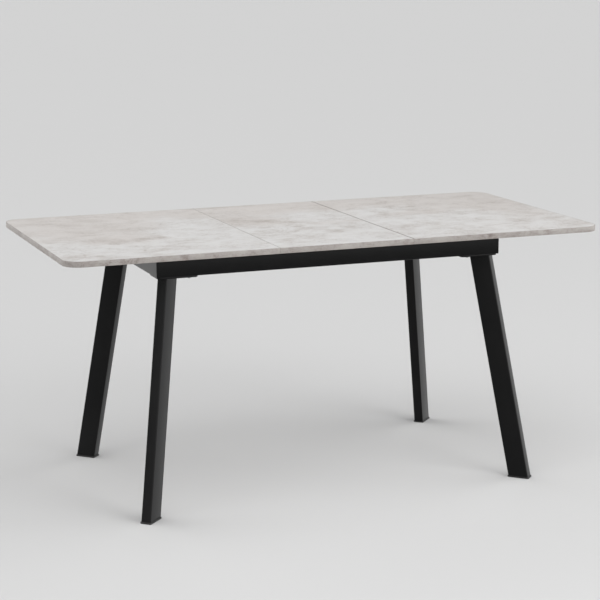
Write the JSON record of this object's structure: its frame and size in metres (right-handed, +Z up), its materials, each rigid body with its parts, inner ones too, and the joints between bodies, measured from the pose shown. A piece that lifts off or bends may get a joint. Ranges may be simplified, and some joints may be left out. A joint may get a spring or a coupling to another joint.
{
  "type": "extendable dining table",
  "caption": "Rectangular extendable dining table with a stone-look top in sections, a lift-out leaf, a black steel frame and splayed rectangular tube legs.",
  "frame": {"origin": "on the floor, midway between the four feet, under the middle of the leaf", "axes": "+X along the table's length, +Y across it to the rear, +Z up"},
  "size_m": [1.6, 0.8, 0.75],
  "materials": {
    "laminate": "matt stone-look laminate, whitish grey with soft taupe clouds and fine veins",
    "edge_band": "satin taupe-grey edge band",
    "powder_coat": "satin black powder coat",
    "black_plastic": "moulded black plastic",
    "zinc_steel": "zinc-plated steel",
    "anodised": "anodised aluminium",
    "beech": "plain beech"
  },
  "bodies": {
    "frame": {"front_rail": "powder_coat", "rear_rail": "powder_coat", "left_end_rail": "powder_coat", "right_end_rail": "powder_coat", "left_cross_member": "powder_coat", "centre_cross_member": "powder_coat", "right_cross_member": "powder_coat", "front_leaf_bearer": "beech", "rear_leaf_bearer": "beech", "front_left_leg_plate": "powder_coat", "front_left_leg": "powder_coat", "front_left_foot_cap": "black_plastic", "front_left_long_rail_bolt": "zinc_steel", "front_left_end_rail_bolt": "zinc_steel", "front_right_leg_plate": "powder_coat", "front_right_leg": "powder_coat", "front_right_foot_cap": "black_plastic", "front_right_long_rail_bolt": "zinc_steel", "front_right_end_rail_bolt": "zinc_steel", "rear_left_leg_plate": "powder_coat", "rear_left_leg": "powder_coat", "rear_left_foot_cap": "black_plastic", "rear_left_long_rail_bolt": "zinc_steel", "rear_left_end_rail_bolt": "zinc_steel", "rear_right_leg_plate": "powder_coat", "rear_right_leg": "powder_coat", "rear_right_foot_cap": "black_plastic", "rear_right_long_rail_bolt": "zinc_steel", "rear_right_end_rail_bolt": "zinc_steel", "front_fixed_slide": "anodised", "rear_fixed_slide": "anodised", "pivot_plate": "zinc_steel", "rocker_pivot_pin": "zinc_steel"},
    "rocker": {"rocker": "zinc_steel", "left_rocker_pin": "zinc_steel", "right_rocker_pin": "zinc_steel"},
    "left_rod": {"left_rod": "zinc_steel"},
    "right_rod": {"right_rod": "zinc_steel"},
    "left_half": {"left_half_batten": "beech", "left_front_slide": "anodised", "left_rear_slide": "anodised", "left_half_board": "laminate", "left_half_edge_band": "edge_band", "left_half_bracket": "zinc_steel", "left_bracket_pin": "zinc_steel"},
    "right_half": {"right_half_batten": "beech", "right_front_slide": "anodised", "right_rear_slide": "anodised", "right_half_board": "laminate", "right_half_edge_band": "edge_band", "right_half_bracket": "zinc_steel", "right_bracket_pin": "zinc_steel"},
    "leaf": {"leaf_board": "laminate", "leaf_front_edge_band": "edge_band", "leaf_rear_edge_band": "edge_band"}
  },
  "joints": [
    {"name": "rocker_turn", "type": "hinge", "parent": "frame", "child": "rocker", "pos_m": [0, 0, 0.6955], "axis": [0, 0, 1], "range_deg": [0, 89.46]},
    {"name": "left_rod_turn", "type": "hinge", "parent": "rocker", "child": "left_rod", "pos_m": [-0.10966, 0.00863, 0.698], "axis": [0, 0, 1], "range_deg": [-178.94, 0]},
    {"name": "left_half_hold", "type": "hinge", "parent": "left_rod", "child": "left_half", "pos_m": [-0.21932, 0, 0.7], "axis": [0, 0, 1], "range_deg": [0, 89.47]},
    {"name": "right_rod_turn", "type": "hinge", "parent": "rocker", "child": "right_rod", "pos_m": [0.10966, -0.00863, 0.698], "axis": [0, 0, 1], "range_deg": [-178.94, 0]},
    {"name": "right_half_hold", "type": "hinge", "parent": "right_rod", "child": "right_half", "pos_m": [0.21932, 0, 0.7], "axis": [0, 0, 1], "range_deg": [0, 89.47]},
    {"name": "leaf_lift", "type": "slide", "parent": "frame", "child": "leaf", "axis": [0, 0, 1], "range_m": [0, 0.2343]}
  ],
  "couplings": [
    {"joint": "left_rod_turn", "follows": "rocker_turn", "ratio": -2},
    {"joint": "left_half_hold", "follows": "rocker_turn", "ratio": 1},
    {"joint": "right_rod_turn", "follows": "rocker_turn", "ratio": -2},
    {"joint": "right_half_hold", "follows": "rocker_turn", "ratio": 1},
    {"joint": "leaf_lift", "follows": "rocker_turn", "m_per_rad": 0.15}
  ]
}
